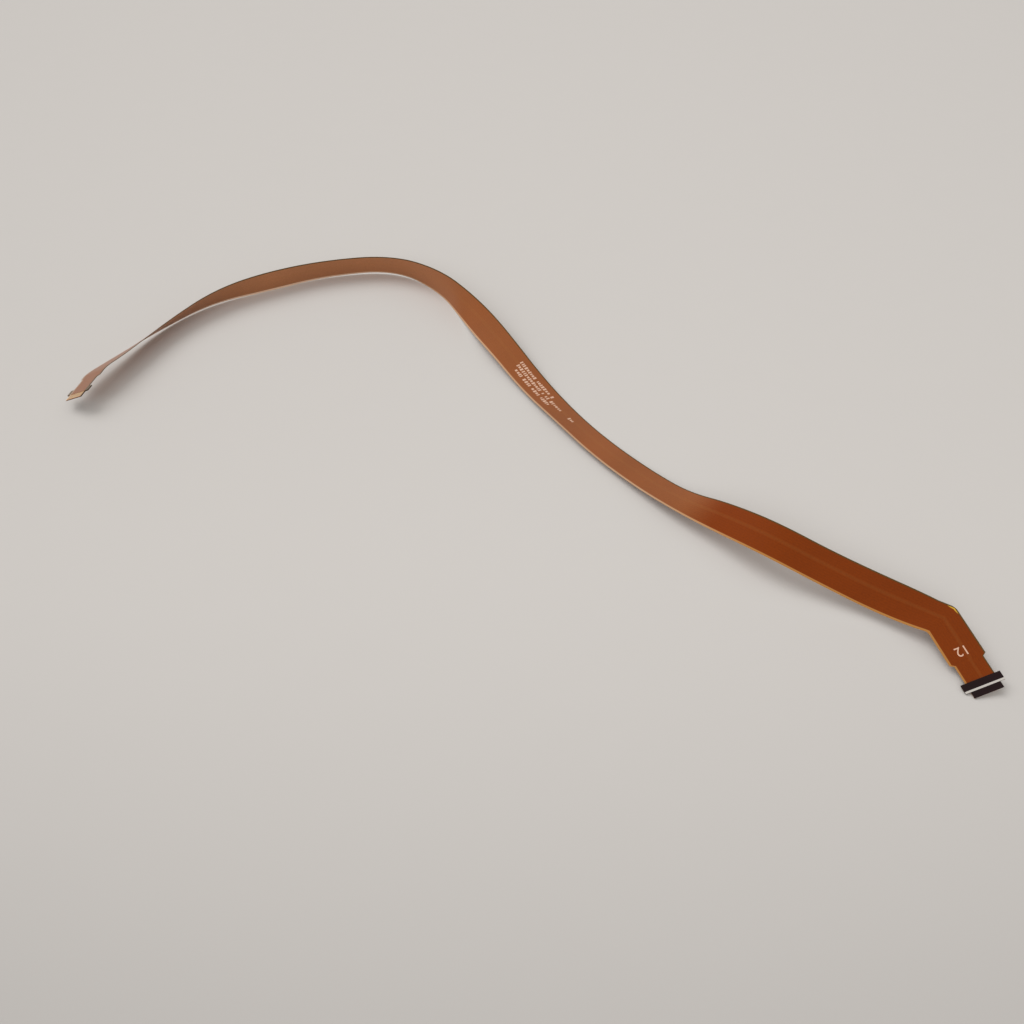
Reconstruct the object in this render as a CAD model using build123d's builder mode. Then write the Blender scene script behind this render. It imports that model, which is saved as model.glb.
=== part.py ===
from build123d import *
from math import cos, radians, sin, tan
import os

# A flat flexible camera cable: a printed copper and film strip, 8.1 mm wide, with a plug-in
# tail at each end. It lies loose on a surface: flat over one half, on its edge over the other.
# Millimetres, +Z up, origin on the surface below the middle of the cable.

# Contacts: the bare ends of the tracks, on the back face of each tail
contact_count = 12
contact_pitch = 0.5
contact_width = 0.3
contact_length = 2.2
contact_setback = 0.1

# Outline of the film
film_width = 8.1
tip_width = (contact_count + 1) * contact_pitch
ear_overhang = 1.1
ear_length = 2.0
camera_tip_length = 1.4
board_tip_length = 2.2
neck_length = 4.6
step_length = 0.5
board_shoulder = 1.5

# Bend in the outline next to the camera end
bend_angle = 40.0
bend_clearance = 0.144
bend_to_neck = 9.8
inner_bend_radius = 1.6
outer_bend_radius = 2.2

# Tracks between the tails, counted from the far edge, with one wider gap among them
track_margin = 0.51
track_gap = 0.14
split_gap = 0.26
tracks_before_split = 5

# Thickness of each layer, from the back face to the front face
back_film_thickness = 0.05
track_thickness = 0.04
front_film_thickness = 0.06
stiffener_thickness = 0.16

# Route of the strip, from the camera end to the board end: x, y, z and lean in degrees.
# A lean of 0 has the front face up, and -90 stands the strip on its near edge.
route = [
    (99.4, -67.3, 4.5, -18),
    (91.9, -62.5, 4.6, -45),
    (79.9, -54.9, 6.1, -32),
    (67.9, -47.9, 8.8, -37),
    (59.4, -37.4, 5.5, -25),
    (50.9, -28.4, 2.8, 1),
    (43.4, -18.9, 1.3, 3),
    (33.9, -6.4, 0.7, 6),
    (25.4, 6.6, 0.8, 11),
    (16.5, 22.0, 0.8, -1),
    (6.8, 39.6, 3.5, -14),
    (-2.4, 57.8, 3.9, -57),
    (-12.1, 74.2, 4.1, -91),
    (-27.8, 85.4, 4.3, -118),
    (-48.8, 82.4, 3.9, -114),
    (-65.9, 73.9, 4.0, -105),
    (-81.1, 65.1, 3.8, -124),
    (-92.5, 50.2, 3.1, -136),
    (-101.1, 30.0, 4.7, -150),
    (-104.0, 23.1, 5.6, -151),
    (-104.5, 21.4, 5.4, -153),
]
stations_per_bend = 3

# Heights above the back face where each layer starts
track_height = back_film_thickness
front_film_height = track_height + track_thickness
stiffener_height = front_film_height + front_film_thickness

half_film = film_width / 2
half_tip = tip_width / 2
half_ear = half_tip + ear_overhang

# The strip stays flat from its end station to the bend, and past the inner corner's rounding
bend_slope = tan(radians(bend_angle) / 2)
bend_setback = bend_slope * (half_film + inner_bend_radius) + bend_clearance

# The tracks share the width that the margins and the gaps between them leave
copper_width = film_width - 2 * track_margin - split_gap - (contact_count - 1) * track_gap
track_width = copper_width / contact_count
track_pitch = track_width + track_gap


def far_direction(index):
    """The direction from the strip's centre line to its far edge at one point of the route."""
    before = route[max(index - 1, 0)]
    after = route[min(index + 1, len(route) - 1)]
    run = (Vector(*after[:3]) - Vector(*before[:3])).normalized()
    level = run.cross(Vector(0, 0, 1)).normalized()
    raised = level.cross(run)
    lean = radians(route[index][3])
    return level * cos(lean) - raised * sin(lean)


def strip_stations():
    """Section planes along the strip: X points to the far edge and Y out of the front face."""
    centre = [Vector(*point[:3]) for point in route]
    guide = [centre[i] + far_direction(i) * film_width for i in range(len(route))]
    last = len(route) - 1
    planes = []
    for i in range(1, last):
        centre_start = centre[0] if i == 1 else (centre[i - 1] + centre[i]) / 2
        guide_start = guide[0] if i == 1 else (guide[i - 1] + guide[i]) / 2
        centre_end = centre[last] if i == last - 1 else (centre[i] + centre[i + 1]) / 2
        guide_end = guide[last] if i == last - 1 else (guide[i] + guide[i + 1]) / 2
        middle = Bezier(centre_start, centre[i], centre_end)
        edge = Bezier(guide_start, guide[i], guide_end)
        first_step = 0 if i == 1 else 1
        for step in range(first_step, stations_per_bend + 1):
            share = step / stations_per_bend
            origin = middle @ share
            planes.append(Plane(origin, x_dir=(edge @ share) - origin, z_dir=(middle % share) * -1))
    return planes


def strip_creases(planes):
    """The lines across the strip between its flat facets, as far and near points with normals.

    A slanting crease joins opposite edges of each two stations, so every facet is flat.
    """
    creases = []
    for i, plane in enumerate(planes):
        far = plane.origin + plane.x_dir * half_film
        near = plane.origin - plane.x_dir * half_film
        if i:
            creases.append((creases[-1][0], near, creases[-1][2], plane.y_dir))
        creases.append((far, near, plane.y_dir, plane.y_dir))
    return creases


stations = strip_stations()
creases = strip_creases(stations)


def crease_point(crease, across, height):
    """A point on a crease, from its distance to the centre line and its height over the back."""
    far, near, far_normal, near_normal = crease
    share = 0.5 - across / film_width
    on_far = far + far_normal * height
    on_near = near + near_normal * height
    return on_far + (on_near - on_far) * share


def end_plane(station):
    """The plane of a flat end: X towards the camera end, Y to the far edge, Z out of the front."""
    return Plane(station.origin, x_dir=station.z_dir, z_dir=station.y_dir)


camera_plane = end_plane(stations[0])
board_plane = end_plane(stations[-1])


def track_offset(number):
    """Distance of a track from the centre line between the tails, positive to the far edge."""
    from_middle = (contact_count - 1) / 2 - number
    shift = split_gap / 2 if number < tracks_before_split else -split_gap / 2
    return from_middle * track_pitch + shift


def contact_offset(number):
    """Distance of a contact from the centre line of its tail."""
    return ((contact_count - 1) / 2 - number) * contact_pitch


def past_bend(along, across):
    """A point beyond the bend, from its distances along and across the camera tail's centre line."""
    turn = radians(bend_angle)
    return (
        bend_setback + along * cos(turn) + across * sin(turn),
        across * cos(turn) - along * sin(turn),
    )


def camera_edge(strip_offset, neck_offset, reach):
    """A line along the camera end: on the strip, round the bend, through the step and the neck."""
    return [
        (0, strip_offset),
        (bend_setback + bend_slope * strip_offset, strip_offset),
        past_bend(bend_to_neck, strip_offset),
        past_bend(bend_to_neck + step_length, neck_offset),
        past_bend(reach, neck_offset),
    ]


def board_edge(strip_offset, neck_offset, reach):
    """A line along the board end: on the strip, through the step and the neck."""
    return [
        (0, strip_offset),
        (-board_shoulder, strip_offset),
        (-board_shoulder - step_length, neck_offset),
        (-reach, neck_offset),
    ]


camera_ears = bend_to_neck + neck_length
camera_tip = camera_ears + ear_length + camera_tip_length
board_ears = board_shoulder + neck_length
board_tip = board_ears + ear_length + board_tip_length


def ears_outline(ears, reach):
    """Half of a tail's outline from its ears on, as pairs of distances along and across."""
    outline = [(ears, half_ear), (min(reach, ears + ear_length), half_ear)]
    if reach > ears + ear_length:
        outline += [(ears + ear_length, half_tip), (reach, half_tip)]
    return outline


def mirrored(points):
    """The points of a half outline, followed by the same ones across the centre line."""
    return points + [(along, -across) for along, across in reversed(points)]


def camera_outline(reach):
    """The film's outline at the camera end, up to a distance beyond the bend."""
    ears = ears_outline(camera_ears, reach)
    far_side = camera_edge(half_film, half_tip, camera_ears) + [past_bend(*p) for p in ears]
    near_side = camera_edge(-half_film, -half_tip, camera_ears)
    near_side += [past_bend(along, -across) for along, across in ears]
    return far_side + near_side[::-1]


def board_outline(reach):
    """The film's outline at the board end, up to a distance from the end of the strip."""
    far_side = board_edge(half_film, half_tip, board_ears)
    far_side += [(-along, across) for along, across in ears_outline(board_ears, reach)]
    return mirrored(far_side)


def flat_layer(plane, height, points, thickness):
    """A flat layer with straight edges."""
    with BuildPart() as layer:
        with BuildSketch(plane.offset(height)):
            with BuildLine():
                Polyline(*points, close=True)
            make_face()
        extrude(amount=thickness)
    return layer.part


def camera_film(height, reach, thickness):
    """A film layer at the camera end, with the two corners of its bend rounded."""
    outer_corner = Vector(bend_setback + bend_slope * half_film, half_film)
    inner_corner = Vector(bend_setback - bend_slope * half_film, -half_film)
    with BuildPart() as layer:
        with BuildSketch(camera_plane.offset(height)) as outline:
            with BuildLine():
                Polyline(*camera_outline(reach), close=True)
            make_face()
            fillet(outline.vertices().sort_by_distance(outer_corner)[0], outer_bend_radius)
            fillet(outline.vertices().sort_by_distance(inner_corner)[0], inner_bend_radius)
        extrude(amount=thickness)
    return layer.part


def facet(*corners):
    """A flat face through three or four corners, or nothing where they lie on one line."""
    apart = []
    for corner in corners:
        if all((corner - other).length > 1e-6 for other in apart):
            apart.append(corner)
    return [Face(Wire.make_polygon(apart))] if len(apart) > 2 else []


def strip_layer(far_side, near_side, height, thickness):
    """One layer's stretch between the two flat ends, made of flat facets."""
    sections = []
    for crease in creases:
        low_far = crease_point(crease, far_side, height)
        low_near = crease_point(crease, near_side, height)
        high_near = crease_point(crease, near_side, height + thickness)
        high_far = crease_point(crease, far_side, height + thickness)
        sections.append((low_far, low_near, high_near, high_far))
    faces = facet(*sections[0]) + facet(*sections[-1])
    for before, after in zip(sections, sections[1:]):
        faces += facet(before[0], before[1], after[1], after[0])
        faces += facet(before[2], before[3], after[3], after[2])
        for low, high in ((0, 3), (1, 2)):
            faces += facet(before[low], after[low], after[high])
            faces += facet(before[low], after[high], before[high])
    return Solid(Shell(faces))


def film_layer(height, thickness, camera_reach, board_reach):
    """One full-width film from tail to tail."""
    with BuildPart() as film:
        add(strip_layer(half_film, -half_film, height, thickness))
        add(camera_film(height, camera_reach, thickness))
        add(flat_layer(board_plane, height, board_outline(board_reach), thickness))
    return film.part


def copper_band(edges, height, thickness, camera_reach, board_reach):
    """One copper band from tail to tail, between two edges given as strip and neck offsets."""
    (strip_far, neck_far), (strip_near, neck_near) = edges
    camera_side = camera_edge(strip_far, neck_far, camera_reach)
    camera_side += camera_edge(strip_near, neck_near, camera_reach)[::-1]
    board_side = board_edge(strip_far, neck_far, board_reach)
    board_side += board_edge(strip_near, neck_near, board_reach)[::-1]
    with BuildPart() as band:
        add(strip_layer(strip_far, strip_near, height, thickness))
        add(flat_layer(camera_plane, height, camera_side, thickness))
        add(flat_layer(board_plane, height, board_side, thickness))
    return band.part


def track(number):
    """A copper track with a bare contact at each end."""
    strip_middle = track_offset(number)
    neck_middle = contact_offset(number)
    edges = (
        (strip_middle + track_width / 2, neck_middle + contact_width / 2),
        (strip_middle - track_width / 2, neck_middle - contact_width / 2),
    )
    camera_reach = camera_tip - contact_setback
    board_reach = board_tip - contact_setback
    return copper_band(edges, track_height, track_thickness, camera_reach, board_reach)


def tail_plate(ears, reach, place, plane, height, thickness):
    """A flat plate of a tail's outline, from the back of the ears to a distance along the tail."""
    outline = mirrored(ears_outline(ears, reach))
    return flat_layer(plane, height, [place(*point) for point in outline], thickness)


def on_board_tail(along, across):
    """A point of the board tail, from its distances along and across the tail's centre line."""
    return (-along, across)


os.makedirs("parts", exist_ok=True)

back_camera_reach = camera_tip - contact_length
back_board_reach = board_tip - contact_length
pieces = {
    "back_film": film_layer(0, back_film_thickness, back_camera_reach, back_board_reach),
    "front_film": film_layer(front_film_height, front_film_thickness, camera_tip, board_tip),
    "camera_end_stiffener": tail_plate(
        camera_ears, camera_tip, past_bend, camera_plane, stiffener_height, stiffener_thickness
    ),
    "board_end_stiffener": tail_plate(
        board_ears, board_tip, on_board_tail, board_plane, stiffener_height, stiffener_thickness
    ),
}
for number in range(contact_count):
    pieces[f"track_{number + 1:02d}"] = track(number)

for name, piece in pieces.items():
    piece.label = name
    export_step(piece, f"parts/{name}.step")
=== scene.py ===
"""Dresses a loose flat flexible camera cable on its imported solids.

The films, the contacts and the print are modelled flat, each in one plane, and are then laid
along the cable's route. In the flat, +X points to the camera end, +Y to the far edge and +Z
out of the front face, with the origin where the strip meets the camera end. Everything is in
metres.
"""

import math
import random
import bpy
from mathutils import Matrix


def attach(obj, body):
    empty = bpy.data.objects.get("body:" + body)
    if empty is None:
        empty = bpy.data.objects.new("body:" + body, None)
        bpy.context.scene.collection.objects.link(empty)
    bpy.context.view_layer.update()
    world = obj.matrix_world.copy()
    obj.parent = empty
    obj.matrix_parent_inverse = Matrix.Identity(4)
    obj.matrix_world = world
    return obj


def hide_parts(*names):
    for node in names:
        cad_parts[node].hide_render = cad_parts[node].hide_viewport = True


bl_info = {
    "name": "Flat Flex Cable",
    "version": (1, 0, 0),
    "blender": (4, 5, 0),
    "location": "View3D > Sidebar > Flex Cable",
    "description": "Builds an amber flat flexible cable with a plug-in tail at each end",
    "category": "Add Mesh",
}

from bisect import bisect_right

import bmesh
import bpy
from mathutils import Matrix, Vector

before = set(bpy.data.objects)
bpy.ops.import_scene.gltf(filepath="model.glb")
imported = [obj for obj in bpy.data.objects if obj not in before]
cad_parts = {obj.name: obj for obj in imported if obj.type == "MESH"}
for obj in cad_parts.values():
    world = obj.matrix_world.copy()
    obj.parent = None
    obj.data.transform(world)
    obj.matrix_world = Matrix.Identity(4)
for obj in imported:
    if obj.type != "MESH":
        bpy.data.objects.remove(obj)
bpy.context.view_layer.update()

# The route's points from the camera end to the board end, each with the strip's lean in
# degrees. A lean of 0 has the front face up, and -90 stands the strip on its near edge.
ROUTE = (
    (0.0994, -0.0673, 0.0045, -18),
    (0.0919, -0.0625, 0.0046, -45),
    (0.0799, -0.0549, 0.0061, -32),
    (0.0679, -0.0479, 0.0088, -37),
    (0.0594, -0.0374, 0.0055, -25),
    (0.0509, -0.0284, 0.0028, 1),
    (0.0434, -0.0189, 0.0013, 3),
    (0.0339, -0.0064, 0.0007, 6),
    (0.0254, 0.0066, 0.0008, 11),
    (0.0165, 0.0220, 0.0008, -1),
    (0.0068, 0.0396, 0.0035, -14),
    (-0.0024, 0.0578, 0.0039, -57),
    (-0.0121, 0.0742, 0.0041, -91),
    (-0.0278, 0.0854, 0.0043, -118),
    (-0.0488, 0.0824, 0.0039, -114),
    (-0.0659, 0.0739, 0.0040, -105),
    (-0.0811, 0.0651, 0.0038, -124),
    (-0.0925, 0.0502, 0.0031, -136),
    (-0.1011, 0.0300, 0.0047, -150),
    (-0.1040, 0.0231, 0.0056, -151),
    (-0.1045, 0.0214, 0.0054, -153),
)
UP = Vector((0, 0, 1))

# Shares of the half width at which the films are cut lengthwise, so that they bend smoothly
# and their margins have edges of their own.
LENGTHWISE_CUTS = (-0.86, -0.5, 0, 0.5, 0.86)

# Rows of printed marks on the strip: each one's place across it, its start and its end.
PRINT_ROWS = (
    (0.00150, -0.1347, -0.1170),
    (0.00010, -0.1342, -0.1112),
    (-0.00135, -0.1328, -0.1150),
    (0.00020, -0.1072, -0.1052),
)
MARK_LENGTHS = (0.00040, 0.00050, 0.00070)
MARK_HEIGHTS = (0.0007, 0.0010)
MARK_GAPS = (0.00030, 0.00035, 0.00045, 0.00120)
MARK_THICKNESS = 0.000004
MARK_RISE = 0.000003
LINE_THICKNESS = 0.000012
LINE_RISE = 0.000004
NUMBER_HEIGHT = 0.0030
NUMBER_PLACE = 0.0077

# The view: its height above the surface as an angle, its distance and what it looks at.
VIEW_RISE = math.radians(42.0)
VIEW_DISTANCE = 0.2540
VIEW_TARGET = Vector((0.0104, -0.0294, 0))


def length(name, description, default):
    """A size in metres, with the precision that film thicknesses need."""
    return bpy.props.FloatProperty(
        name=name, description=description, default=default, min=0, precision=5, unit="LENGTH"
    )


def colour(name, description, default):
    """A linear colour."""
    return bpy.props.FloatVectorProperty(
        name=name, description=description, default=default, size=3, min=0, max=1, subtype="COLOR"
    )


class CableSizes(bpy.types.PropertyGroup):
    """Sizes of the cable's outline and layers."""

    film_width: length("Film width", "Width of the strip between the tails", 0.0081)
    tail_width: length("Tail width", "Width of each tail's neck and tip", 0.0065)
    ear_overhang: length("Ear overhang", "How far each ear stands out from the tail", 0.0011)
    ear_length: length("Ear length", "Length of the ears along the tail", 0.0020)
    camera_tip: length("Camera tip", "Length of the camera tail beyond its ears", 0.0014)
    board_tip: length("Board tip", "Length of the board tail beyond its ears", 0.0022)
    neck_length: length("Neck length", "Length of the film from the step to the ears", 0.0046)
    step: length("Step", "Length over which the film narrows to the neck", 0.0005)
    board_shoulder: length("Board shoulder", "Flat full-width film at the board end", 0.0015)
    bend_setback: length("Bend setback", "Flat film between the strip and its bend", 0.0022)
    bend_to_neck: length("Bend to neck", "Length of film from the bend to the neck", 0.0098)
    outer_corner: length("Outer corner", "Cut taken off the bend's outer corner", 0.00085)
    inner_corner: length("Inner corner", "Fill laid into the bend's inner corner", 0.00060)
    back_thickness: length("Back thickness", "Back film with the copper on it", 0.00009)
    front_thickness: length("Front thickness", "Front film", 0.00006)
    stiffener_thickness: length("Stiffener thickness", "Plate on each tail", 0.00016)
    contact_pitch: length("Contact pitch", "Distance between the contacts' middles", 0.0005)
    contact_width: length("Contact width", "Width of each bare contact", 0.0003)
    contact_length: length("Contact length", "Bare length of each contact", 0.0022)
    contact_setback: length("Contact setback", "Film beyond each contact's end", 0.0001)
    contact_depth: length("Contact depth", "Thickness of each bare contact", 0.00004)
    track_pitch: length("Track pitch", "Distance between the tracks' middles", 0.00058)
    track_width: length("Track width", "Width of each copper track under the film", 0.00044)
    split_gap: length("Split gap", "Extra gap between the fifth and sixth tracks", 0.00026)
    line_width: length("Line width", "Width of the white line across the ears", 0.00044)
    bend_angle: bpy.props.FloatProperty(
        name="Bend angle",
        description="Turn of the outline next to the camera end",
        default=math.radians(40),
        subtype="ANGLE",
    )


class CableColours(bpy.types.PropertyGroup):
    """Colours of the cable's finishes, some of them painted light and shade."""

    copper: colour("Copper", "Copper under the film, camera end", (0.200, 0.0335, 0.0006))
    # The film has one copper, the camera end's tone. The middle tone is that copper with a painted
    # sheen, and the board-end tone is that copper with painted light on the standing stretch.
    copper_painted_sheen: colour("Pale copper", "Copper under the film, middle", (0.288, 0.088, 0.025))
    copper_painted_light: colour("Dull copper", "Copper under the film, board end", (0.425, 0.176, 0.078))
    # The near margin's cream tone is a painted highlight on the film's lit cut edge.
    painted_near_highlight: colour("Near margin", "Bare film along the near edge", (0.560, 0.330, 0.190))
    amber_margin: colour("Amber margin", "Bare film near the camera end", (0.430, 0.190, 0.050))
    # The board end's near margin is a paler painted highlight.
    painted_board_highlight: colour("Pale margin", "Bare film along the board end", (0.840, 0.600, 0.430))
    # The far margin's dark tone is painted shade. The same dark tone is also put on the film's ears.
    painted_far_shade_and_ear_tone: colour("Far margin", "Bare film along the far edge", (0.100, 0.055, 0.013))
    # The back film's greyish near margin is a painted reflection of the pale room at a grazing view.
    back_margin_painted_reflection: colour("Back margin", "Bare film along the back's near edge", (0.390, 0.255, 0.165))
    corner: colour("Corner", "Bare film at the outer corner of the bend", (0.620, 0.360, 0.040))
    back: colour("Back", "Copper seen through the back film", (0.275, 0.092, 0.029))
    gold: colour("Gold", "Plating of the contacts", (0.840, 0.630, 0.380))
    stiffener: colour("Stiffener", "Dark plates on the tails", (0.011, 0.0034, 0.004))
    line: colour("Line", "White line across the ears", (0.560, 0.520, 0.480))
    print_ink: colour("Print", "Pale printed marks on the film", (0.720, 0.450, 0.320))


class StageSettings(bpy.types.PropertyGroup):
    """The surface below the cable and its light."""

    paper: colour("Paper", "Colour of the surface", (0.650, 0.623, 0.598))
    key_strength: bpy.props.FloatProperty(
        name="Key strength", description="Strength of the soft key light", default=1.25, min=0
    )
    fill_power: bpy.props.FloatProperty(
        name="Fill power", description="Power of the wide light in front", default=22.0, min=0
    )
    sky_strength: bpy.props.FloatProperty(
        name="Sky strength", description="Strength of the light from all round", default=0.53, min=0
    )
    backdrop: bpy.props.FloatProperty(
        name="Backdrop", description="How pale the room behind is seen", default=0.62, min=0
    )


def far_direction(index):
    """The direction from the strip's middle to its far edge at one point of the route."""
    before = Vector(ROUTE[max(index - 1, 0)][:3])
    after = Vector(ROUTE[min(index + 1, len(ROUTE) - 1)][:3])
    run = (after - before).normalized()
    level = run.cross(UP).normalized()
    lean = math.radians(ROUTE[index][3])
    return level * math.cos(lean) - level.cross(run) * math.sin(lean)


def smooth_line(name, points):
    """Points along the smooth curve that has these points as its control points."""
    curve = bpy.data.curves.new(name, "CURVE")
    curve.dimensions = "3D"
    curve.resolution_u = 18
    spline = curve.splines.new("NURBS")
    spline.points.add(len(points) - 1)
    for control, point in zip(spline.points, points):
        control.co = (*point, 1)
    spline.order_u = 3
    spline.use_endpoint_u = True
    holder = bpy.data.objects.new(name, curve)
    mesh = bpy.data.meshes.new_from_object(holder)
    line = [vertex.co.copy() for vertex in mesh.vertices]
    bpy.data.objects.remove(holder)
    bpy.data.curves.remove(curve)
    bpy.data.meshes.remove(mesh)
    return line


class Course:
    """Where the strip runs: a smooth line along its middle, and one to show its far side."""

    def __init__(self, width):
        middles = [Vector(point[:3]) for point in ROUTE]
        guides = [middle + far_direction(i) * width for i, middle in enumerate(middles)]
        self.middle = smooth_line("strip_middle", middles)
        guide = smooth_line("strip_guide", guides)
        last = len(self.middle) - 1
        self.distance = [0.0]
        self.axes = []
        for i, point in enumerate(self.middle):
            if i:
                self.distance.append(self.distance[-1] + (point - self.middle[i - 1]).length)
            along = self.middle[max(i - 1, 0)] - self.middle[min(i + 1, last)]
            if i == 0:
                along = middles[0] - middles[1]
            if i == last:
                along = middles[-2] - middles[-1]
            along.normalize()
            far = guide[i] - point
            far = (far - along * far.dot(along)).normalized()
            self.axes.append((along, far, along.cross(far)))
        self.length = self.distance[-1]

    def place(self, point):
        """Where a point of the flat cable goes."""
        travelled = min(max(-point.x, 0), self.length)
        beyond = point.x + travelled
        i = min(bisect_right(self.distance, travelled), len(self.distance) - 1)
        step = self.distance[i] - self.distance[i - 1]
        share = (travelled - self.distance[i - 1]) / step
        middle = self.middle[i - 1].lerp(self.middle[i], share)
        along, far, front = (
            before.lerp(after, share).normalized()
            for before, after in zip(self.axes[i - 1], self.axes[i])
        )
        return middle + along * beyond + far * point.y + front * point.z


def shade(tone, factor):
    """A linear colour times a factor."""
    return [value * factor for value in tone]


def sizes():
    """The cable's sizes."""
    return bpy.context.scene.cable_sizes


def colours():
    """The cable's colours."""
    return bpy.context.scene.cable_colours


def course():
    """The strip's course at its present width."""
    return Course(sizes().film_width)


def camera_tail():
    """Takes a point from a tail's own place, with +X outwards, to the flat camera end."""
    turn = Matrix.Rotation(-sizes().bend_angle, 4, "Z")
    return Matrix.Translation((sizes().bend_setback, 0, 0)) @ turn


def board_tail(strip_length):
    """Takes a point from a tail's own place, with +X outwards, to the flat board end."""
    return Matrix.Translation((-strip_length, 0, 0)) @ Matrix.Rotation(math.pi, 4, "Z")


class Tail:
    """One end of the cable: where its neck, its ears and its end are, and the place it is in."""

    def __init__(self, neck, tip, place):
        s = sizes()
        self.neck = neck
        self.ears = neck + s.neck_length
        self.tip = self.ears + s.ear_length
        self.end = self.tip + tip
        self.place = place

    def half_outline(self, shortened):
        """One side of the film from its full width to the tail's end, in the tail's own place."""
        s = sizes()
        half, narrow = s.film_width / 2, s.tail_width / 2
        ear = narrow + s.ear_overhang
        end = self.end - shortened
        points = [(self.neck, half), (self.neck + s.step, narrow)]
        points += [(self.ears, narrow), (self.ears, ear), (min(self.tip, end), ear)]
        if end > self.tip:
            points += [(self.tip, narrow), (end, narrow)]
        return points


def tails(strip_length):
    """The camera tail and the board tail."""
    s = sizes()
    camera = Tail(s.bend_to_neck, s.camera_tip, camera_tail())
    return camera, Tail(s.board_shoulder, s.board_tip, board_tail(strip_length))


def film_outline(strip_length, shortened):
    """The whole film's outline in the flat, with both tails shortened by the same amount."""
    s = sizes()
    half = s.film_width / 2
    slope = math.tan(s.bend_angle / 2)
    camera, board = tails(strip_length)
    camera_side, board_side = camera.half_outline(shortened), board.half_outline(shortened)
    to_camera, to_board = camera.place, board.place
    outline = [(s.bend_setback + slope * half, half)]
    outline += [(to_camera @ Vector((x, y, 0)))[:2] for x, y in camera_side]
    outline += [(to_camera @ Vector((x, -y, 0)))[:2] for x, y in reversed(camera_side)]
    outline += [(s.bend_setback - slope * half, -half)]
    outline += [(to_board @ Vector((x, y, 0)))[:2] for x, y in board_side]
    outline += [(to_board @ Vector((x, -y, 0)))[:2] for x, y in reversed(board_side)]
    return outline


def slice_across(bm, point, normal):
    """Cuts the flat film's faces along one line."""
    everything = bm.verts[:] + bm.edges[:] + bm.faces[:]
    bmesh.ops.bisect_plane(bm, geom=everything, dist=1e-7, plane_co=point, plane_no=normal)


def flat_film(strip, low, thickness, shortened):
    """One film in the flat, cut across wherever the strip's course turns."""
    s = sizes()
    bm = bmesh.new()
    outline = film_outline(strip.length, shortened)
    bm.faces.new([bm.verts.new((x, y, low)) for x, y in outline])
    half = s.film_width / 2
    slope = math.tan(s.bend_angle / 2)
    for side, reach in ((1, s.outer_corner), (-1, s.inner_corner)):
        corner = Vector((s.bend_setback + side * slope * half, side * half, low))
        nearest = min(bm.verts, key=lambda v: (v.co - corner).length)
        bmesh.ops.bevel(
            bm, geom=[nearest], offset=reach, segments=6, profile=0.5, affect="VERTICES", material=-1
        )
    for distance in strip.distance:
        slice_across(bm, (-distance, 0, 0), (1, 0, 0))
    for share in LENGTHWISE_CUTS:
        slice_across(bm, (0, share * half, 0), (0, 1, 0))
    slice_across(bm, (s.bend_setback, 0, 0), (1, -slope, 0))
    for tail in tails(strip.length):
        outwards = tail.place.to_3x3() @ Vector((1, 0, 0))
        for distance in (tail.neck, tail.neck + s.step / 2, tail.neck + s.step):
            slice_across(bm, tail.place @ Vector((distance, 0, 0)), outwards)
    raised = bmesh.ops.extrude_face_region(bm, geom=bm.faces[:])["geom"]
    top = [item for item in raised if isinstance(item, bmesh.types.BMVert)]
    bmesh.ops.translate(bm, verts=top, vec=(0, 0, thickness))
    bmesh.ops.recalc_face_normals(bm, faces=bm.faces[:])
    return bm


def unroll(point, strip_length):
    """Where a flat point is on the film: its distance along and its share of the half width."""
    s = sizes()
    half, narrow = s.film_width / 2, s.tail_width / 2
    slope = math.tan(s.bend_angle / 2)
    if point.x > s.bend_setback + slope * point.y:
        local = camera_tail().inverted() @ point
        along, across, past = s.bend_setback + local.x, local.y, local.x - s.bend_to_neck
    else:
        along, across, past = point.x, point.y, -point.x - strip_length - s.board_shoulder
    share = min(max(past / s.step, 0), 1)
    return along, across / (half + (narrow - half) * share)


def lay(bm, strip, name, material, uv_needed=True):
    """Turns a flat bmesh into a finished piece along the course, riding on the cable."""
    if uv_needed:
        uv = bm.loops.layers.uv.new("film")
        for face in bm.faces:
            middle = face.calc_center_median()
            for loop in face.loops:
                inside = loop.vert.co.lerp(middle, 0.001)
                along, across = unroll(inside, strip.length)
                loop[uv].uv = (along * 1000, across)
    for vertex in bm.verts:
        vertex.co = strip.place(vertex.co)
    mesh = bpy.data.meshes.new(name)
    bm.to_mesh(mesh)
    bm.free()
    mesh.materials.append(material)
    mesh.polygons.foreach_set("use_smooth", [True] * len(mesh.polygons))
    mesh.set_sharp_from_angle(angle=math.radians(35))
    piece = bpy.data.objects.new(name, mesh)
    bpy.context.collection.objects.link(piece)
    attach(piece, "root")
    return piece


def add_block(bm, size, place, bevel=0.0):
    """Adds a block of a size in a place of its own, with its edges bevelled."""
    block = bmesh.ops.create_cube(bm, size=1.0)["verts"]
    bmesh.ops.scale(bm, verts=block, vec=size)
    if bevel:
        edges = list({edge for vertex in block for edge in vertex.link_edges})
        rounded = bmesh.ops.bevel(
            bm, geom=edges, offset=bevel, segments=2, profile=0.5, affect="EDGES", material=-1
        )
        block = list({v for v in rounded["verts"]} | {v for v in block if v.is_valid})
    bmesh.ops.transform(bm, matrix=place, verts=block)


def add_number(bm, text, height, place):
    """Adds a plain number that reads towards the near edge, with its top outwards."""
    curve = bpy.data.curves.new(text, "FONT")
    curve.body = text
    curve.size = height
    curve.align_x = "CENTER"
    curve.align_y = "CENTER"
    holder = bpy.data.objects.new(text, curve)
    mesh = bpy.data.meshes.new_from_object(holder)
    mesh.transform(place @ Matrix.Rotation(-math.pi / 2, 4, "Z"))
    bm.from_mesh(mesh)
    bpy.data.objects.remove(holder)
    bpy.data.curves.remove(curve)
    bpy.data.meshes.remove(mesh)


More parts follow.
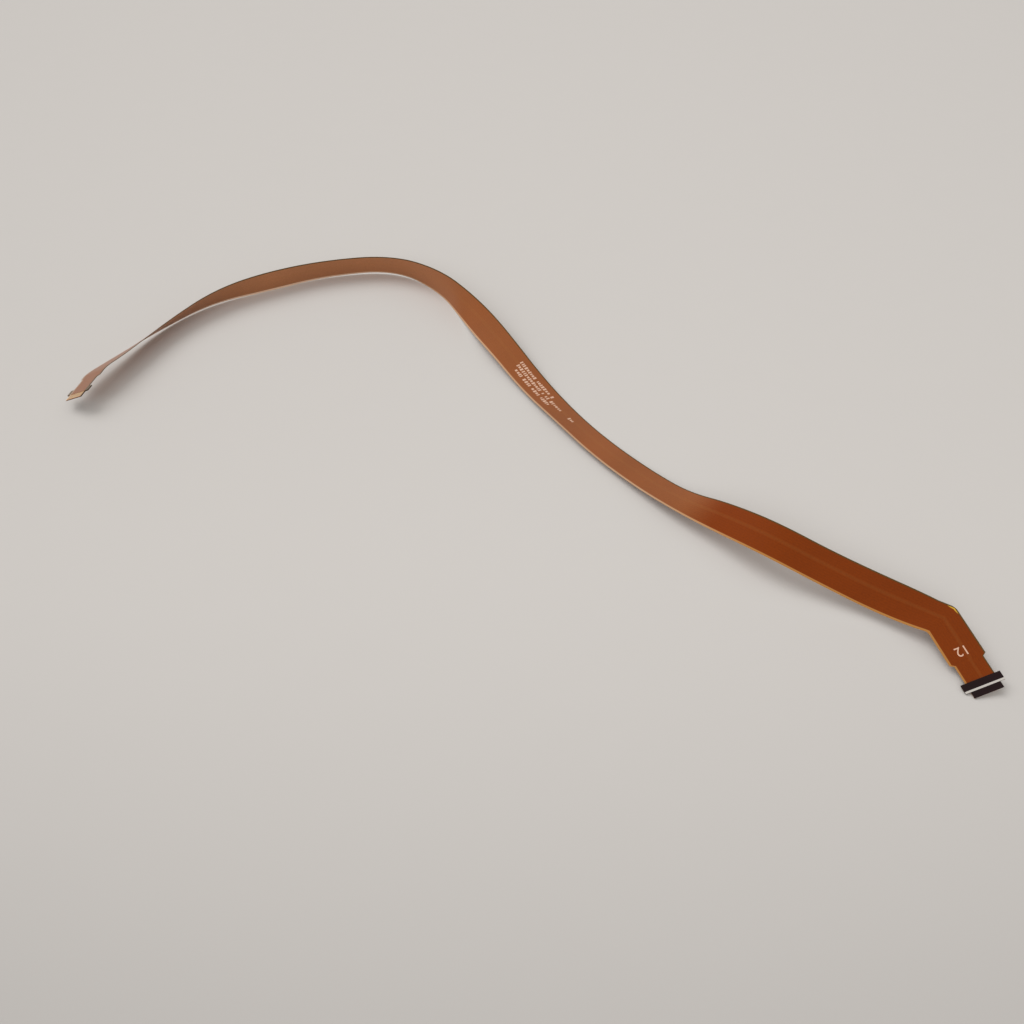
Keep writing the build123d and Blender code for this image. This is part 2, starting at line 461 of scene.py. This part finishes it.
class Value:
    """A shader value that adds its own maths nodes when an expression uses it."""

    def __init__(self, shader, socket):
        self.shader = shader
        self.socket = socket

    def maths(self, operation, *values):
        """The result of one maths node."""
        numbered = dict(enumerate(values))
        return self.shader.node("ShaderNodeMath", {"operation": operation}, numbered)

    def __add__(self, other):
        return self.maths("ADD", self, other)

    def __radd__(self, other):
        return self.maths("ADD", other, self)

    def __sub__(self, other):
        return self.maths("SUBTRACT", self, other)

    def __rsub__(self, other):
        return self.maths("SUBTRACT", other, self)

    def __mul__(self, other):
        return self.maths("MULTIPLY", self, other)

    def __rmul__(self, other):
        return self.maths("MULTIPLY", other, self)

    def __truediv__(self, other):
        return self.maths("DIVIDE", self, other)

    def __rtruediv__(self, other):
        return self.maths("DIVIDE", other, self)

    def __abs__(self):
        return self.maths("ABSOLUTE", self)

    def __mod__(self, other):
        return self.maths("FLOORED_MODULO", self, other)

    def __rmod__(self, other):
        return self.maths("FLOORED_MODULO", other, self)

    def at_least(self, low):
        """The value, or a lower limit where it is below that."""
        return self.maths("MAXIMUM", self, low)


class Nodes:
    """A node tree that is put together from values."""

    def __init__(self, owner):
        owner.use_nodes = True
        self.tree = owner.node_tree
        self.tree.nodes.clear()

    def node(self, kind, settings=None, inputs=None, output=0):
        """One node of a kind, with its settings made before its sockets are filled."""
        made = self.tree.nodes.new(kind)
        for setting, value in (settings or {}).items():
            setattr(made, setting, value)
        for name, value in (inputs or {}).items():
            if isinstance(value, Value):
                self.tree.links.new(value.socket, made.inputs[name])
            else:
                made.inputs[name].default_value = value
        return Value(self, made.outputs[output]) if made.outputs else None


class Finish(Nodes):
    """A material that is put together from nodes."""

    def __init__(self, name):
        self.material = bpy.data.materials.new(name)
        super().__init__(self.material)

    def mix(self, share, first, second):
        """A colour between two colours."""
        settings = {"data_type": "RGBA", "clamp_factor": True}
        inputs = {0: share, 6: self.solid(first), 7: self.solid(second)}
        return self.node("ShaderNodeMix", settings, inputs, 2)

    def solid(self, value):
        """A colour with its alpha, or a value as it is."""
        return value if isinstance(value, Value) else (*value[:3], 1)

    def above(self, value, edge, softness):
        """1 where a value is above an edge, 0 where it is below, soft between."""
        settings = {"interpolation_type": "SMOOTHSTEP"}
        inputs = {"Value": value, "From Min": edge - softness, "From Max": edge + softness}
        return self.node("ShaderNodeMapRange", settings, inputs)

    def noise(self, place, scale, detail=2.0):
        """Soft noise around 0.5."""
        inputs = {"Vector": place, "Scale": scale, "Detail": detail, "Roughness": 0.5}
        return self.node("ShaderNodeTexNoise", None, inputs)

    def place(self):
        """The point's place on the object."""
        return self.node("ShaderNodeTexCoord", None, None, "Object")

    def parts(self, vector):
        """A vector's X and Y."""
        x = self.node("ShaderNodeSeparateXYZ", None, {0: vector}, 0)
        y = self.node("ShaderNodeSeparateXYZ", None, {0: vector}, 1)
        return x, y

    def film(self):
        """The point's distance along the film in millimetres and its share of the half width."""
        return self.parts(self.node("ShaderNodeUVMap", {"uv_map": "film"}))

    def distance(self, place, point):
        """How far a place is from one point."""
        settings = {"operation": "DISTANCE"}
        return self.node("ShaderNodeVectorMath", settings, {0: place, 1: point}, "Value")

    def dim(self, tone, factor):
        """A colour times a factor."""
        return self.node("ShaderNodeVectorMath", {"operation": "SCALE"}, {0: tone, "Scale": factor})

    def bump(self, height, distance, strength=1.0):
        """A normal from a height."""
        inputs = {"Height": height, "Distance": distance, "Strength": strength}
        return self.node("ShaderNodeBump", None, inputs)

    def surface(self, **inputs):
        """Finishes the material with one surface shader."""
        named = {name.replace("_", " "): value for name, value in inputs.items()}
        for name, value in named.items():
            if name in ("Base Color", "Coat Tint", "Specular Tint"):
                named[name] = self.solid(value)
        shader = self.node("ShaderNodeBsdfPrincipled", None, named)
        self.node("ShaderNodeOutputMaterial", None, {"Surface": shader})
        return self.material


def film_finish(name, tones, changes, margins, sheen, corner):
    """Amber film over copper tracks, with bare margins along both edges. On the front film its tones
    along the film carry painted sheen and painted light. Its near margin carries a painted highlight
    on the front film and a painted reflection on the back film, and its far margin carries painted
    shade.

    Distances along the film are in millimetres, and places across it are shares of its half
    width. Each change is where one tone turns into the next, and how softly.
    """
    s, c = sizes(), colours()
    finish = Finish(name)
    along, across = finish.film()
    place = finish.place()
    drift = finish.noise(place, 45.0)
    grain = finish.noise(place, 2600.0, 3.0)

    half = s.film_width / 2 * 1000
    pitch = s.track_pitch * 1000
    half_gap = (s.track_pitch - s.track_width) * 500
    split_reach, split_softness, gap_softness = 0.22, 0.24, 0.03
    from_split = abs(across * half - pitch) - s.split_gap * 500
    in_split = 1 - finish.above(from_split, split_reach, split_softness)
    to_track = abs((from_split + pitch / 2) % pitch - pitch / 2)
    in_gap = 1 - finish.above(to_track, half_gap, gap_softness)

    to_board = along * -1
    camera_end, middle, board_end = tones
    first_change, second_change = changes
    # On the front film the middle tone is painted sheen on the copper and the board-end tone is
    # painted light on the copper.
    tone = finish.mix(finish.above(to_board, *first_change), camera_end, middle)
    tone = finish.mix(finish.above(to_board, *second_change), tone, board_end)
    split_tint, unevenness, gap_shade = 0.08, 0.35, 0.07
    tone = finish.mix(in_split * split_tint, tone, c.amber_margin)
    uneven = 1.0 + (drift - 0.5) * unevenness + (grain - 0.5) * unevenness
    tone = finish.dim(tone, uneven - in_gap * gap_shade)

    margin_change, board_margin_change = (56.0, 20.0), (-215.0, 25.0)
    near_edge, far_edge, ear_edge = 0.885, 0.925, 1.03
    edge_softness, ear_softness, wider_painted_highlight = 0.012, 0.02, 0.06
    # On the front film the near margin's tone away from the camera end is a painted highlight,
    # widened on the board side. On the back film the whole near margin is a painted reflection.
    camera_margin, middle_margin, board_margin = margins
    on_board_side = 1 - finish.above(along, *board_margin_change)
    near_tone = finish.mix(finish.above(to_board, *margin_change), camera_margin, middle_margin)
    near_tone = finish.mix(on_board_side, near_tone, board_margin)
    widened = across * -1 + on_board_side * wider_painted_highlight
    near = finish.above(widened, near_edge, edge_softness)
    tone = finish.mix(near, tone, near_tone)

    corner_edge, corner_softness, corner_curve = 0.83, 0.015, 0.035
    from_corner = finish.distance(place, corner) * 1000
    towards_corner = across - from_corner * from_corner * corner_curve
    at_corner = finish.above(towards_corner, corner_edge, corner_softness)
    tone = finish.mix(at_corner, tone, c.corner)
    # The far margin is darkened with painted shade. The ears beyond the tail's width get the same
    # dark tone.
    far = finish.above(across, far_edge, edge_softness)
    ears = finish.above(abs(across), ear_edge, ear_softness)
    tone = finish.mix(far + ears, tone, c.painted_far_shade_and_ear_tone)
    return finish.surface(
        Base_Color=tone,
        Roughness=0.36 + (drift - 0.5) * 0.12 + (grain - 0.5) * 0.10,
        Normal=finish.bump(in_gap * -1 + grain * 0.3, 0.000006, 0.5),
        IOR=1.6,
        Specular_IOR_Level=sheen,
    )


def gold_finish():
    """Gold plating, a little worn."""
    finish = Finish("gold_plating")
    place = finish.place()
    wear = finish.noise(place, 1500.0, 3.0)
    gold = colours().gold
    tone = finish.mix((wear - 0.4) * 1.2, gold, shade(gold, 0.75))
    return finish.surface(
        Base_Color=tone, Metallic=0.6, Roughness=0.28 + wear * 0.16, IOR=1.5
    )


def stiffener_finish():
    """Matte dark brown laminate with a fine grain."""
    finish = Finish("stiffener_laminate")
    place = finish.place()
    grain = finish.noise(place, 5200.0, 3.0)
    drift = finish.noise(place, 400.0)
    dark = colours().stiffener
    tone = finish.mix((drift - 0.4) * 1.1, dark, shade(dark, 1.9))
    return finish.surface(
        Base_Color=tone,
        Roughness=0.55 + (drift - 0.5) * 0.2,
        Normal=finish.bump(grain, 0.000004, 0.6),
        IOR=1.5,
        Specular_IOR_Level=0.2,
    )


def ink_finish(name, ink):
    """Slightly uneven screen-printed ink."""
    finish = Finish(name)
    patches = finish.noise(finish.place(), 3800.0, 3.0)
    tone = finish.mix((patches - 0.4) * 1.3, ink, shade(ink, 0.78))
    return finish.surface(Base_Color=tone, Roughness=0.5 + patches * 0.2, IOR=1.5)


def paper_finish():
    """Plain pale surface, darkened softly towards the front and the sides by painted shade where the
    light falls off.
    """
    finish = Finish("pale_surface")
    paper = bpy.context.scene.cable_stage.paper
    place = finish.place()
    aside, back = finish.parts(place)
    front_start, front_rate = -0.03, 56.0
    middle, depth, side_rate = 0.02, 0.36, 0.9
    # Painted shade: the surface's tone darkens towards the front and the sides, where the light
    # falls off.
    in_front = (front_start - back).at_least(0.0)
    beside = (aside - middle) / (back + depth)
    painted_falloff_shade = in_front * in_front * front_rate + beside * beside * side_rate
    tone = finish.mix(painted_falloff_shade, paper, shade(paper, 0.78))
    fibres = finish.noise(place, 90.0, 4.0)
    tone = finish.dim(tone, 1.0 - (fibres - 0.4) * 0.01)
    return finish.surface(Base_Color=tone, Roughness=0.9, Specular_IOR_Level=0.1)


class CABLE_OT_films(bpy.types.Operator):
    """Lay the two films along the cable's course"""

    bl_idname = "cable.films"
    bl_label = "Films"

    def execute(self, context):
        s, c = sizes(), colours()
        strip = course()
        slope = math.tan(s.bend_angle / 2)
        corner = Vector((s.bend_setback + slope * s.film_width / 2, s.film_width / 2, 0))
        outer = strip.place(corner)
        # The middle and board-end tones carry painted sheen and painted light, and the middle and
        # board-end near margins carry a painted highlight.
        tones = (c.copper, c.copper_painted_sheen, c.copper_painted_light)
        margins = (c.amber_margin, c.painted_near_highlight, c.painted_board_highlight)
        changes = ((57.0, 6.0), (182.0, 24.0))
        amber = film_finish("front_film_amber", tones, changes, margins, 0.12, outer)
        front = flat_film(strip, s.back_thickness, s.front_thickness, 0.0)
        front_film = lay(front, strip, "front_ribbon", amber)
        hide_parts("front_film")
        # The back film's near margin is a painted reflection.
        margins = (c.back_margin_painted_reflection,) * 3
        tones = (c.back,) * 3
        brown = film_finish("back_film_amber", tones, changes, margins, 0.55, outer)
        back = flat_film(strip, 0.0, s.back_thickness, s.contact_length)
        back_film = lay(back, strip, "back_ribbon", brown)
        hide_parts("back_film")
        return {"FINISHED"}


class CABLE_OT_contacts(bpy.types.Operator):
    """Set the bare contacts on the back of both tails"""

    bl_idname = "cable.contacts"
    bl_label = "Contacts"

    def execute(self, context):
        s = sizes()
        strip = course()
        gold = gold_finish()
        bevel = 0.000008
        count = round(s.tail_width / s.contact_pitch) - 1
        tracks = [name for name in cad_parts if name.startswith("track_")]
        for name, tail in zip(("camera_contacts", "board_contacts"), tails(strip.length)):
            bm = bmesh.new()
            middle = tail.end - (s.contact_length + s.contact_setback) / 2
            for i in range(count):
                across = (i - (count - 1) / 2) * s.contact_pitch
                height = s.back_thickness - s.contact_depth / 2
                place = tail.place @ Matrix.Translation((middle, across, height))
                size = (s.contact_length - s.contact_setback, s.contact_width, s.contact_depth)
                add_block(bm, size, place, bevel)
            contacts = lay(bm, strip, name, gold, uv_needed=False)
            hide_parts(*tracks)
        return {"FINISHED"}


class CABLE_OT_stiffeners(bpy.types.Operator):
    """Give both stiffeners their dark laminate and the white line across their ears"""

    bl_idname = "cable.stiffeners"
    bl_label = "Stiffeners"

    def execute(self, context):
        s = sizes()
        strip = course()
        dark = stiffener_finish()
        for name in ("camera_end_stiffener", "board_end_stiffener"):
            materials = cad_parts[name].data.materials
            materials.clear()
            materials.append(dark)
        white = ink_finish("white_ink", colours().line)
        top = s.back_thickness + s.front_thickness + s.stiffener_thickness + LINE_RISE
        size = (s.line_width, s.tail_width + 2 * s.ear_overhang, LINE_THICKNESS)
        for name, tail in zip(("camera_line", "board_line"), tails(strip.length)):
            bm = bmesh.new()
            middle = tail.tip - s.line_width / 2
            add_block(bm, size, tail.place @ Matrix.Translation((middle, 0, top)))
            line = lay(bm, strip, name, white, uv_needed=False)
        return {"FINISHED"}


class CABLE_OT_marks(bpy.types.Operator):
    """Print plain marks on the front film"""

    bl_idname = "cable.marks"
    bl_label = "Printed marks"

    def execute(self, context):
        s = sizes()
        strip = course()
        pale = ink_finish("pale_ink", colours().print_ink)
        bm = bmesh.new()
        top = s.back_thickness + s.front_thickness + MARK_RISE
        draws = random.Random(12)
        for across, start, end in PRINT_ROWS:
            x = start
            while x < end:
                stroke = draws.choice(MARK_LENGTHS)
                size = (stroke, draws.choice(MARK_HEIGHTS), MARK_THICKNESS)
                add_block(bm, size, Matrix.Translation((x + stroke / 2, across, top)))
                x += stroke + draws.choice(MARK_GAPS)
        place = camera_tail() @ Matrix.Translation((NUMBER_PLACE, 0, top))
        add_number(bm, "12", NUMBER_HEIGHT, place)
        marks = lay(bm, strip, "print_marks", pale, uv_needed=False)
        return {"FINISHED"}


class CABLE_OT_stage(bpy.types.Operator):
    """Set the pale surface, its soft light and the camera"""

    bl_idname = "cable.stage"
    bl_label = "Stage"

    def execute(self, context):
        settings = context.scene.cable_stage
        mesh = bpy.data.meshes.new("surface")
        bm = bmesh.new()
        bmesh.ops.create_grid(bm, x_segments=1, y_segments=1, size=4.0)
        bm.to_mesh(mesh)
        bm.free()
        mesh.materials.append(paper_finish())
        surface = bpy.data.objects.new("surface", mesh)
        context.collection.objects.link(surface)

        lamp = bpy.data.lights.new("soft_key", "SUN")
        lamp.energy = settings.key_strength
        lamp.angle = math.radians(48)
        key = bpy.data.objects.new("soft_key", lamp)
        source = Vector((-0.60, 0.40, 1.0))
        key.rotation_euler = source.to_track_quat("Z", "Y").to_euler()
        key.visible_glossy = False
        context.collection.objects.link(key)

        pane = bpy.data.lights.new("wide_fill", "AREA")
        pane.shape = "RECTANGLE"
        pane.size = 2.4
        pane.size_y = 1.2
        pane.energy = settings.fill_power
        fill = bpy.data.objects.new("wide_fill", pane)
        fill.location = (-0.60, -2.40, 1.70)
        fill.rotation_euler = fill.location.to_track_quat("Z", "Y").to_euler()
        fill.visible_glossy = False
        context.collection.objects.link(fill)

        world = bpy.data.worlds.new("pale_room")
        room = Nodes(world)
        seen = 0.0
        for kind in ("Is Camera Ray", "Is Glossy Ray", "Is Transmission Ray"):
            seen = seen + room.node("ShaderNodeLightPath", None, None, kind)
        strength = seen * (settings.backdrop - settings.sky_strength) + settings.sky_strength
        inputs = {"Color": (1.0, 0.978, 0.945, 1), "Strength": strength}
        light = room.node("ShaderNodeBackground", None, inputs)
        room.node("ShaderNodeOutputWorld", None, {"Surface": light})
        context.scene.world = world

        lens = bpy.data.cameras.new("viewpoint")
        lens.sensor_width = 36
        lens.lens = 36.91
        lens.clip_start = 0.01
        camera = bpy.data.objects.new("viewpoint", lens)
        away = Vector((0, -math.cos(VIEW_RISE), math.sin(VIEW_RISE)))
        camera.location = VIEW_TARGET + away * VIEW_DISTANCE
        camera.rotation_euler = away.to_track_quat("Z", "Y").to_euler()
        context.collection.objects.link(camera)
        context.scene.camera = camera
        context.scene.view_settings.view_transform = "Standard"
        return {"FINISHED"}


class CABLE_OT_cord(bpy.types.Operator):
    """Add up the length of the cable's middle line from one tail's end to the other"""

    bl_idname = "cable.cord"
    bl_label = "Cord facts"

    def execute(self, context):
        strip = course()
        camera, board = tails(strip.length)
        outer = camera.place @ Vector((camera.end, 0, 0))
        corner = camera.place @ Vector((0, 0, 0))
        path = [strip.place(outer), strip.place(corner), *strip.middle]
        path.append(strip.place(board.place @ Vector((board.end, 0, 0))))
        total = sum((after - before).length for before, after in zip(path, path[1:]))
        return {"FINISHED"}


class CABLE_PT_pieces(bpy.types.Panel):
    """The cable's pieces, sizes and colours"""

    bl_idname = "CABLE_PT_pieces"
    bl_label = "Flat flex cable"
    bl_space_type = "VIEW_3D"
    bl_region_type = "UI"
    bl_category = "Flex Cable"

    def draw(self, context):
        layout = self.layout
        for operator in OPERATORS:
            layout.operator(operator.bl_idname)
        for group in (context.scene.cable_sizes, context.scene.cable_colours):
            box = layout.box()
            for name in group.__annotations__:
                box.prop(group, name)
        box = layout.box()
        for name in context.scene.cable_stage.__annotations__:
            box.prop(context.scene.cable_stage, name)


GROUPS = (CableSizes, CableColours, StageSettings)
OPERATORS = (
    CABLE_OT_stage,
    CABLE_OT_films,
    CABLE_OT_contacts,
    CABLE_OT_stiffeners,
    CABLE_OT_marks,
    CABLE_OT_cord,
)
CLASSES = (*GROUPS, *OPERATORS, CABLE_PT_pieces)


def register():
    for cls in CLASSES:
        bpy.utils.register_class(cls)
    bpy.types.Scene.cable_sizes = bpy.props.PointerProperty(type=CableSizes)
    bpy.types.Scene.cable_colours = bpy.props.PointerProperty(type=CableColours)
    bpy.types.Scene.cable_stage = bpy.props.PointerProperty(type=StageSettings)


def unregister():
    del bpy.types.Scene.cable_stage
    del bpy.types.Scene.cable_colours
    del bpy.types.Scene.cable_sizes
    for cls in reversed(CLASSES):
        bpy.utils.unregister_class(cls)


def main():
    register()
    bpy.ops.cable.stage()
    bpy.ops.cable.films()
    bpy.ops.cable.contacts()
    bpy.ops.cable.stiffeners()
    bpy.ops.cable.marks()
    bpy.ops.cable.cord()


if __name__ == "__main__":
    main()
